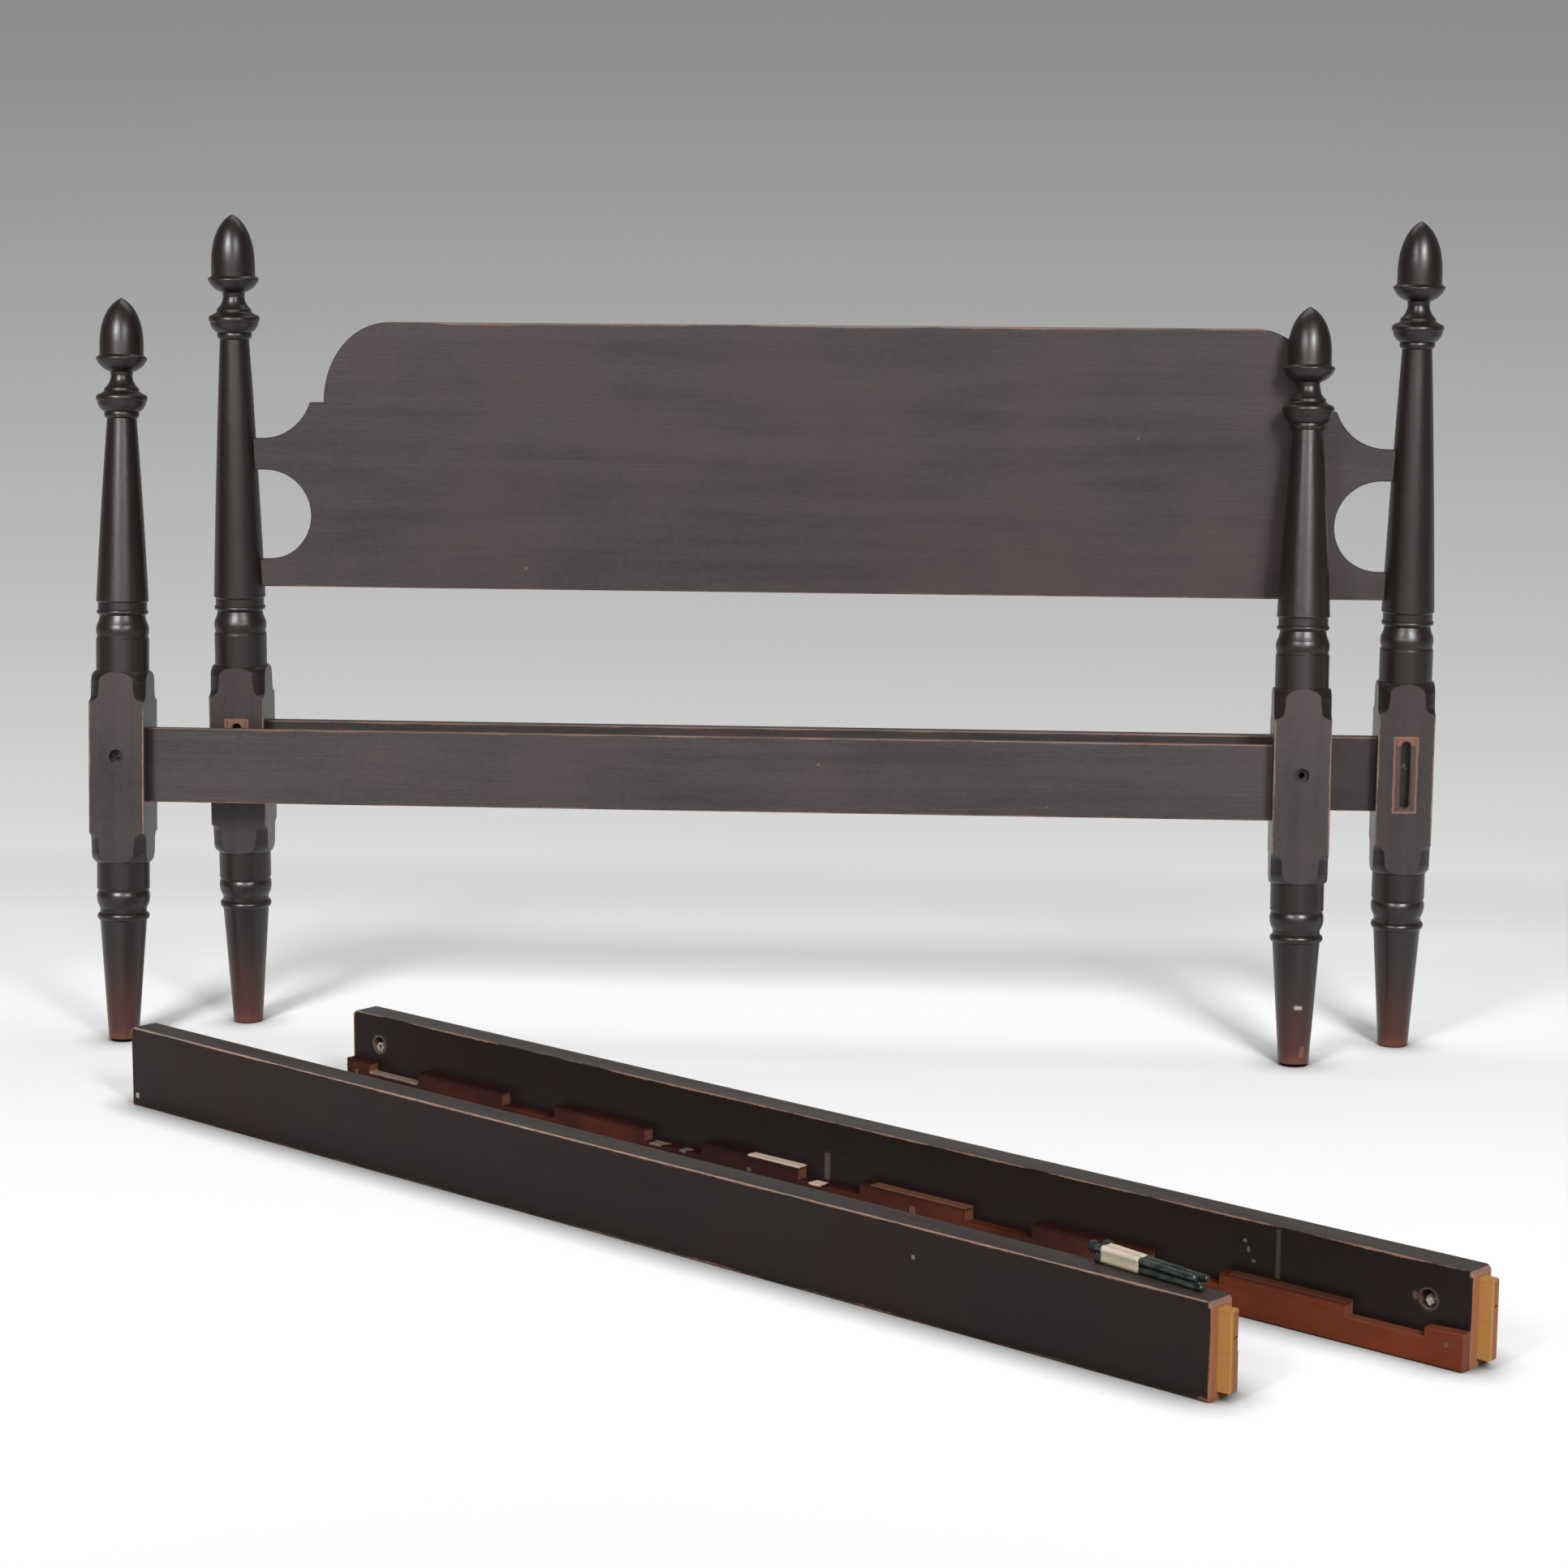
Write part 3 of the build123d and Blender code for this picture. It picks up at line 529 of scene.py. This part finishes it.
far_marks = rail_ends() + [
    ((0.752, -0.023, 0.090), (0.0022, 0.003, 0.032), 0.0025, PALE, 0.08, 0.0),
    ((0.706, -0.023, 0.088), (0.0012, 0.003, 0.0014), 0.003, PALE, 0.25, 0.008),
    ((0.701, -0.023, 0.098), (0.0015, 0.003, 0.0015), 0.002, PALE, 0.25, 0.004),
    ((0.714, -0.023, 0.073), (0.0015, 0.003, 0.001), 0.002, PALE, 0.25, 0.004),
    ((0.956, -0.023, 0.079), (0.0008, 0.003, 0.003), 0.004, PINK_WOOD, 0.35, 0.008),
    ((-0.017, -0.023, 0.060), (0.003, 0.003, 0.018), 0.004, PALE, 0.12, 0.0),
]
near_marks = rail_ends() + [
    ((-1.024, -0.023, 0.017), (0.0025, 0.003, 0.0025), 0.003, PALE, 0.7, 0.003),
    ((0.575, -0.023, 0.086), (0.0015, 0.003, 0.0015), 0.002, PALE, 0.45, 0.004),
    ((1.030, -0.021, 0.002), (0.007, 0.005, 0.002), 0.003, RUBBED_WOOD, 0.9, 0.004),
    # a pale line along the whole top front arris: partly worn wood, partly a painted highlight
    ((0, -0.023, 0.127), (1.04, 0.0008, 0.0008), 0.0014, PALE, 0.48, 0.002),
]
far_holes = [((side * NUT_HOLE, 0, HOLE_HEIGHT), 0.006, 0.35) for side in (-1, 1)]
far_spot = middle("side_rail_far")
near_spot = middle("side_rail_near")
far_spot.z = near_spot.z = 0
dress("side_rail_far", stained(
    "stained_side_rail_far", rail_turned, far_spot, ALONG, RAIL_BOX, places=far_marks,
    reach=0.0022, patches=0.9, dust_and_sheen=0.45, rub_colour=PINK_WOOD, holes=far_holes,
    deep=0.85, shine=0.15, gloss=0.45))
dress("side_rail_near", stained(
    "stained_side_rail_near", rail_turned, near_spot, ALONG, RAIL_BOX, places=near_marks,
    reach=0.0030, patches=0.55, dust_and_sheen=0.30, deep=0.75, shine=0.15, gloss=0.45))
print("side rails finished")

# %% [markdown]
# ## Slat ledgers
# Notched strips of red-brown softwood. They are darker in a narrow band under their
# tops, paler on the ends of their blocks that face right and forwards, partly bare end grain and
# partly painted light, and bare where slats have rubbed.

# %% The ledgers' colours and marks
LEDGER_DARK = rgba(0.008, 0.0013, 0.0009)
LEDGER_RED = rgba(0.020, 0.003, 0.0016)
LEDGER_WARM = rgba(0.135, 0.027, 0.007)
LEDGER_SAWN_AND_LIT = rgba(0.125, 0.0500, 0.0300)
LEDGER_BARE = rgba(0.38, 0.29, 0.23)
LEDGER_GRAIN = (2.2, 40.0, 40.0)
LEDGER_TOP = 0.0545
SEAT = 0.0355


def ledger_marks(across):
    """Marks along a ledger. across is the strip's middle, off the rail's middle."""
    return [
        ((0, across, LEDGER_TOP), (1.1, 0.02, 0.0022), 0.004, LEDGER_DARK, 0.7, 0.003),
        ((-0.926, across, SEAT), (0.056, 0.02, 0.0008), 0.002, LEDGER_BARE, 0.35, 0.006),
        ((-0.340, across, SEAT), (0.012, 0.02, 0.0008), 0.003, LEDGER_BARE, 0.25, 0.012),
        ((-0.286, across, SEAT), (0.006, 0.02, 0.0008), 0.003, LEDGER_BARE, 0.2, 0.012),
        ((-0.026, across, SEAT), (0.011, 0.02, 0.0008), 0.003, LEDGER_BARE, 0.95, 0.006),
        ((-0.100, across, LEDGER_TOP), (0.055, 0.02, 0.0010), 0.0016, LEDGER_BARE, 0.95, 0.003),
        ((0.170, across, LEDGER_TOP), (0.09, 0.02, 0.0008), 0.0015, LEDGER_SAWN_AND_LIT, 0.7, 0.003),
        ((0.156, across - 0.0085, 0.031), (0.003, 0.003, 0.005), 0.004, LEDGER_SAWN_AND_LIT, 0.8, 0.004),
        ((0.780, across, LEDGER_TOP), (0.09, 0.02, 0.0008), 0.0015, LEDGER_SAWN_AND_LIT, 0.2, 0.003),
        ((0.925, across, SEAT), (0.056, 0.02, 0.0008), 0.0015, LEDGER_SAWN_AND_LIT, 0.35, 0.003),
        ((1.008, across, 0.0515), (0.028, 0.02, 0.0030), 0.002, LEDGER_SAWN_AND_LIT, 0.3, 0.003),
    ]


# %% The ledgers' recipe
def ledger_finish(name, spot, across):
    material, tree, shader = new_material(name)
    own = own_directions(tree, rail_turned, spot)
    along = put(tree, "ShaderNodeSeparateXYZ", {0: own}).outputs[0]
    streak = use(tree, "Grain", "Streak", Vector=own, Stretch=LEDGER_GRAIN)
    fibre = use(tree, "Grain", "Fibre", Vector=own, Stretch=LEDGER_GRAIN)
    broad = cloud(tree, own, 6.0, 3.0)
    colour = blend_colour(tree, ease(tree, streak, 0.3, 0.7), LEDGER_DARK, LEDGER_RED)
    warm = calc(tree, "MULTIPLY", ease(tree, along, 0.2, 1.05), 0.75)
    warm = calc(tree, "ADD", warm, calc(tree, "MULTIPLY", ease(tree, broad, 0.45, 0.7), 0.3),
                clamp=True)
    colour = blend_colour(tree, warm, colour, LEDGER_WARM)
    # block ends that face right and forwards are paler: partly bare end grain, partly painted
    # light
    end_lit_way = rail_turned.to_matrix().inverted() @ Vector((1, 0, 0))
    end_grain_and_lit = ease(tree, facing(tree, end_lit_way), 0.6, 0.9)
    colour = blend_colour(tree, calc(tree, "MULTIPLY", end_grain_and_lit, 0.7), colour, LEDGER_SAWN_AND_LIT)
    for centre, half, fade, tint, strength, ragged in ledger_marks(across):
        moved = shaken(tree, own, 70.0, (ragged * 2, ragged, ragged * 0.5))
        mask = use(tree, "Place", "Mask", Vector=moved, Centre=centre, Half_size=half,
                   Fade=fade)
        colour = blend_colour(tree, calc(tree, "MULTIPLY", mask, strength), colour, tint)
    colour = blend_colour(tree, calc(tree, "MULTIPLY", ease(tree, fibre, 0.5, 0.8), 0.35),
                          colour, LEDGER_DARK)
    tree.links.new(colour, shader.inputs["Base Color"])
    tree.links.new(calc(tree, "MULTIPLY_ADD", fibre, 0.3, 0.42), shader.inputs["Roughness"])
    shader.inputs["Specular IOR Level"].default_value = 0.15
    bump = put(tree, "ShaderNodeBump", {"Height": calc(tree, "ADD", fibre, streak),
                                        "Strength": 0.4, "Distance": 0.0006})
    tree.links.new(bump.outputs[0], shader.inputs["Normal"])
    return material


# %% Finish the ledgers
LEDGER_OFF = RAIL_HALF.y + 0.0085
dress("slat_ledger_far", ledger_finish("ledger_wood_far", far_spot, -LEDGER_OFF))
dress("slat_ledger_near", ledger_finish("ledger_wood_near", near_spot, LEDGER_OFF))
print("ledgers finished")

# %% [markdown]
# ## Ironwork
# Bolts, nuts and screws are plain steel that has dulled. The bolts are dark with a
# green cast on their shanks and paler on their heads, so their colour changes along
# them. Blotches come from noise, which also changes the roughness.


# %% The metal's recipe
# metres from the tape's middle over which a bolt's head colour gives way to its shank's
HEAD_TO_SHANK = (-0.0515, -0.0495)


def metal(name, dark, light, rough, scale, spot=None, head_colour=None):
    material, tree, shader = new_material(name)
    own = own_directions(tree, rail_turned, spot or far_spot)
    blotch = cloud(tree, own, scale, 4.0, 0.6)
    fine = cloud(tree, own, scale * 8, 2.0)
    colour = blend_colour(tree, ease(tree, blotch, 0.35, 0.65), dark, light)
    if head_colour:
        along = put(tree, "ShaderNodeSeparateXYZ", {0: own}).outputs[0]
        head = calc(tree, "SUBTRACT", 1.0, ease(tree, along, *HEAD_TO_SHANK))
        colour = blend_colour(tree, head, colour, head_colour)
    tree.links.new(colour, shader.inputs["Base Color"])
    tree.links.new(calc(tree, "MULTIPLY_ADD", blotch, 0.3, rough - 0.15),
                   shader.inputs["Roughness"])
    shader.inputs["Metallic"].default_value = 0.75
    bump = put(tree, "ShaderNodeBump", {"Height": fine, "Strength": 0.25,
                                        "Distance": 0.0002})
    tree.links.new(bump.outputs[0], shader.inputs["Normal"])
    return material


# %% Finish the ironwork
tape_middle = middle("bolt_tape")
bolt_finish = metal("bolt_iron_dull", rgba(0.018, 0.025, 0.021), rgba(0.070, 0.085, 0.074),
                    0.42, 60.0, tape_middle, rgba(0.27, 0.195, 0.170))
nut_finish = metal("nut_steel_dull", rgba(0.26, 0.235, 0.20), rgba(0.50, 0.47, 0.43),
                   0.40, 120.0)
screw_finish = metal("screw_steel_dull", rgba(0.08, 0.035, 0.022), rgba(0.20, 0.12, 0.085),
                     0.5, 300.0)
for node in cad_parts:
    if node.startswith("bed_bolt"):
        dress(node, bolt_finish)
    elif node.startswith("rail_nut"):
        dress(node, nut_finish)
    elif node.startswith("ledger_screw"):
        dress(node, screw_finish)
print("ironwork finished")

# %% [markdown]
# ## The tape
# A few turns of paper tape hold the bolts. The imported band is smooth, so it is wound
# again here: three thin layers, each a little out of line with the one below, drawn in
# between the shanks and creased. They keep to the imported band's own outline.

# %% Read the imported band
tape_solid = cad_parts["bolt_tape"]
points = [tape_solid.matrix_world @ vertex.co for vertex in tape_solid.data.vertices]
BUNDLE_TURN = math.radians(4.5)
heading = Matrix.Rotation(-BUNDLE_TURN - RAIL_TURN, 3, "Z") @ Vector((1, 0, 0))
aside = Vector((0, 0, 1)).cross(heading)
along_band = [(point - tape_middle).dot(heading) for point in points]
near_end, far_end = min(along_band), max(along_band)


def band_end(limit):
    """Middle and half sizes of the band's outline at one end."""
    ring = [point for point, run in zip(points, along_band) if abs(run - limit) < 0.0015]
    wide = [(point - tape_middle).dot(aside) for point in ring]
    high = [point.z - tape_middle.z for point in ring]
    return ((min(wide) + max(wide)) / 2, (min(high) + max(high)) / 2,
            (max(wide) - min(wide)) / 2, (max(high) - min(high)) / 2)


ends = band_end(near_end), band_end(far_end)
print("tape", round(1000 * (far_end - near_end), 1), "mm long", ends)

# %% Wind the tape
ROUND = 0.0056
AROUND, STATIONS = 132, 30
THICKNESS = 0.00022
# each layer: how far in its two ends start, and how deep it lies
LAYERS = ((0.0, 0.0, 0.00055), (0.0012, -0.0008, 0.00028), (-0.0002, -0.0030, 0.0))


def outline(half_wide, half_high, share):
    """A point on a rounded rectangle, its outward way and its hollow, at a share of a turn."""
    straight = 2 * (half_wide - ROUND), 2 * (half_high - ROUND)
    bend = math.pi / 2 * ROUND
    run = share * (2 * sum(straight) + 4 * bend)
    corners = ((1, 1, 0), (-1, 1, 90), (-1, -1, 180), (1, -1, 270))
    for number, (wide, high, start) in enumerate(corners):
        centre = Vector((wide * (half_wide - ROUND), high * (half_high - ROUND)))
        if run <= bend:
            angle = math.radians(start) + run / ROUND
            way = Vector((math.cos(angle), math.sin(angle)))
            return centre + way * ROUND, way, 0.0
        run -= bend
        side = straight[number % 2]
        angle = math.radians(start + 90)
        way = Vector((math.cos(angle), math.sin(angle)))
        if run <= side:
            step = Vector((-way.y, way.x)) * run
            return centre + way * ROUND + step, way, math.sin(math.pi * run / side)
        run -= side
    return outline(half_wide, half_high, 0.0)


vertices, faces = [], []
for start_in, end_in, sunk in LAYERS:
    base = len(vertices)
    for station in range(STATIONS + 1):
        share = station / STATIONS
        run = near_end + start_in + share * (far_end + end_in - near_end - start_in)
        mix = (run - near_end) / (far_end - near_end)
        wide, high, half_wide, half_high = [
            (1 - mix) * a + mix * b for a, b in zip(*ends)]
        for depth in (0.0, THICKNESS):
            for step in range(AROUND):
                spot, way, hollow = outline(half_wide, half_high, step / AROUND)
                crease = noise.noise(Vector((run * 260, step * 0.35, sunk * 9000)))
                fold = noise.noise(Vector((run * 60, step * 0.12, 4.0)))
                inward = sunk + depth + 0.0007 * hollow + 0.00012 * (crease + 1)
                inward += 0.00018 * (fold + 1) * (0.3 + hollow)
                edge = 0.0006 * noise.noise(Vector((step * 0.25, share * 2, sunk * 5000)))
                place = spot - way * inward
                frayed = edge if station in (0, STATIONS) else 0.0
                vertices.append(tape_middle + heading * (run + frayed)
                                + aside * (wide + place.x)
                                + Vector((0, 0, high + place.y)))
    turn = 2 * AROUND
    for station in range(STATIONS):
        for step in range(AROUND):
            after = (step + 1) % AROUND
            low = base + station * turn
            top = low + turn
            faces.append((low + step, low + after, top + after, top + step))
            faces.append((low + AROUND + after, low + AROUND + step,
                          top + AROUND + step, top + AROUND + after))
    for low, flip in ((base, False), (base + STATIONS * turn, True)):
        for step in range(AROUND):
            after = (step + 1) % AROUND
            rim = (low + step, low + AROUND + step, low + AROUND + after, low + after)
            faces.append(rim[::-1] if flip else rim)

tape_mesh = bpy.data.meshes.new("wound_tape")
tape_mesh.from_pydata([tuple(vertex) for vertex in vertices], [], faces)
tape_mesh.shade_smooth()
wound_tape = bpy.data.objects.new("wound_tape", tape_mesh)
bpy.context.scene.collection.objects.link(wound_tape)
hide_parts("bolt_tape")
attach(wound_tape, "bolt_bundle")

# %% Finish the tape
material, tree, shader = new_material("tape_paper_creased")
own = own_directions(tree, rail_turned, tape_middle)
stain = cloud(tree, own, 45.0, 3.0)
crepe = cloud(tree, arrow(tree, "MULTIPLY", own, (900.0, 120.0, 120.0)), 1.0, 3.0)
height = put(tree, "ShaderNodeSeparateXYZ", {0: own}).outputs[2]
# darker towards the bottom and paler on top: painted shade under the bundle, painted light on
# its top
colour = blend_colour(tree, ease(tree, height, -0.004, 0.010), rgba(0.30, 0.25, 0.17),
                      rgba(0.42, 0.36, 0.28))
colour = blend_colour(tree, calc(tree, "MULTIPLY", ease(tree, stain, 0.45, 0.75), 0.4),
                      colour, rgba(0.20, 0.16, 0.11))
colour = blend_colour(tree, calc(tree, "MULTIPLY", crepe, 0.25), colour,
                      rgba(0.46, 0.41, 0.33))
tree.links.new(colour, shader.inputs["Base Color"])
tree.links.new(calc(tree, "MULTIPLY_ADD", crepe, 0.2, 0.55), shader.inputs["Roughness"])
bump = put(tree, "ShaderNodeBump", {"Height": crepe, "Strength": 0.4, "Distance": 0.0003})
tree.links.new(bump.outputs[0], shader.inputs["Normal"])
tape_mesh.materials.append(material)
print("tape wound with", len(faces), "faces")

# %% [markdown]
# ## The studio
# A sheet of paper runs under the bed and up behind it. What the camera sees of it is
# set by its own glow, from white in front to grey above, and a plain matt part keeps
# the shadows of the feet and rails. Close to the bed an occlusion node darkens both the
# glow and the matt part: a painted contact shadow.

# %% Hang the paper
SWEEP_START = head_y + 1.5
SWEEP_RADIUS = 2.2
PAPER_WIDE, PAPER_FRONT, PAPER_HIGH = 16.0, -12.0, 9.0
profile = [(PAPER_FRONT, 0.0), (head_y - 3.0, 0.0), (head_y, 0.0)]
for step in range(25):
    angle = math.radians(90 * step / 24)
    profile.append((SWEEP_START + SWEEP_RADIUS * math.sin(angle),
                    SWEEP_RADIUS * (1 - math.cos(angle))))
profile.append((SWEEP_START + SWEEP_RADIUS, PAPER_HIGH))
corners = [(x, y, z) for y, z in profile for x in (-PAPER_WIDE, PAPER_WIDE)]
strips = [(2 * n, 2 * n + 1, 2 * n + 3, 2 * n + 2) for n in range(len(profile) - 1)]
paper_mesh = bpy.data.meshes.new("paper")
paper_mesh.from_pydata(corners, [], strips)
paper_mesh.shade_smooth()
paper = bpy.data.objects.new("paper", paper_mesh)
bpy.context.scene.collection.objects.link(paper)

# %% Finish the paper
# metres back plus metres up from the head end, and the grey that the paper glows there
GLOW = ((-2.5, 0.35), (-0.8, 0.10), (-0.1, 0.10), (0.9, 0.57), (1.6, 0.70), (3.2, 0.50),
        (5.6, 0.25))
material = bpy.data.materials.new("studio_paper")
material.use_nodes = True
tree = material.node_tree
tree.nodes.clear()
spot = put(tree, "ShaderNodeSeparateXYZ",
           {0: put(tree, "ShaderNodeTexCoord").outputs["Object"]}).outputs
reach = calc(tree, "SUBTRACT", calc(tree, "ADD", spot[1], spot[2]), head_y)
low, high = GLOW[0][0], GLOW[-1][0]
share = calc(tree, "DIVIDE", calc(tree, "SUBTRACT", reach, low), high - low)
ramp = put(tree, "ShaderNodeValToRGB", {"Fac": share})
while len(ramp.color_ramp.elements) < len(GLOW):
    ramp.color_ramp.elements.new(0.5)
for element, (place, grey) in zip(ramp.color_ramp.elements, GLOW):
    element.position = (place - low) / (high - low)
    element.color = (grey, grey, grey, 1.0)
matt = calc(tree, "SUBTRACT", 1.0, ease(tree, reach, -0.1, 1.5))
matt = calc(tree, "MULTIPLY_ADD", matt, 0.62, 0.02)
# painted contact shadow: occlusion darkens the matt colour and the glow close to the feet and
# rails
painted_contact_shadow = put(tree, "ShaderNodeAmbientOcclusion", {"Distance": 0.07}, samples=8)
painted_contact_shadow = calc(tree, "MULTIPLY_ADD", painted_contact_shadow.outputs["AO"], 1.3, -0.3, clamp=True)
matt = calc(tree, "MULTIPLY", matt, painted_contact_shadow)
shade = put(tree, "ShaderNodeCombineColor", {0: matt, 1: matt, 2: matt}).outputs[0]
diffuse = put(tree, "ShaderNodeBsdfDiffuse", {"Color": shade})
rays = put(tree, "ShaderNodeLightPath").outputs
seen = calc(tree, "ADD", rays["Is Camera Ray"], rays["Is Glossy Ray"], clamp=True)
seen = calc(tree, "ADD", seen, rays["Is Transmission Ray"], clamp=True)
glow = put(tree, "ShaderNodeEmission",
           {"Color": ramp.outputs[0], "Strength": calc(tree, "MULTIPLY", seen, painted_contact_shadow)})
both = put(tree, "ShaderNodeAddShader", {0: diffuse.outputs[0], 1: glow.outputs[0]})
put(tree, "ShaderNodeOutputMaterial", {"Surface": both.outputs[0]})
paper_mesh.materials.append(material)
print("paper", len(strips), "strips")

# %% [markdown]
# ## Light
# Two soft lamps stand in front, one at each side, so every turning shows two soft
# upright highlights and the shadows of the feet run inwards and back. A weak card in
# front, a weak lamp above and a dim even world fill the rest.

# %% Place the lamps
world = bpy.data.worlds.new("studio")
bpy.context.scene.world = world
world.use_nodes = True
background = world.node_tree.nodes["Background"]
background.inputs["Color"].default_value = (1.0, 1.0, 1.0, 1.0)
background.inputs["Strength"].default_value = 0.10


def lamp(name, place, aim, wide, high, power, spread):
    data = bpy.data.lights.new(name, "AREA")
    data.shape = "RECTANGLE"
    data.size, data.size_y = wide, high
    data.energy = power
    data.spread = math.radians(spread)
    item = bpy.data.objects.new(name, data)
    bpy.context.scene.collection.objects.link(item)
    item.location = head_spot + Vector(place)
    way = head_spot + Vector(aim) - item.location
    item.rotation_euler = way.to_track_quat("-Z", "Y").to_euler()


LAMP_POWER = 85.0
lamp("left_lamp", (-2.9, -6.0, 4.2), (-1.6, 0.0, 0.3), 1.7, 2.2, LAMP_POWER, 60)
lamp("right_lamp", (2.9, -6.0, 4.2), (1.6, 0.0, 0.3), 1.7, 2.2, LAMP_POWER, 60)
lamp("front_card", (0.3, -6.6, 2.4), (0.0, 0.0, 0.7), 4.0, 2.2, 45.0, 140)
lamp("top_lamp", (0.0, 1.0, 4.2), (0.0, -0.6, 0.0), 3.5, 1.5, 30.0, 150)
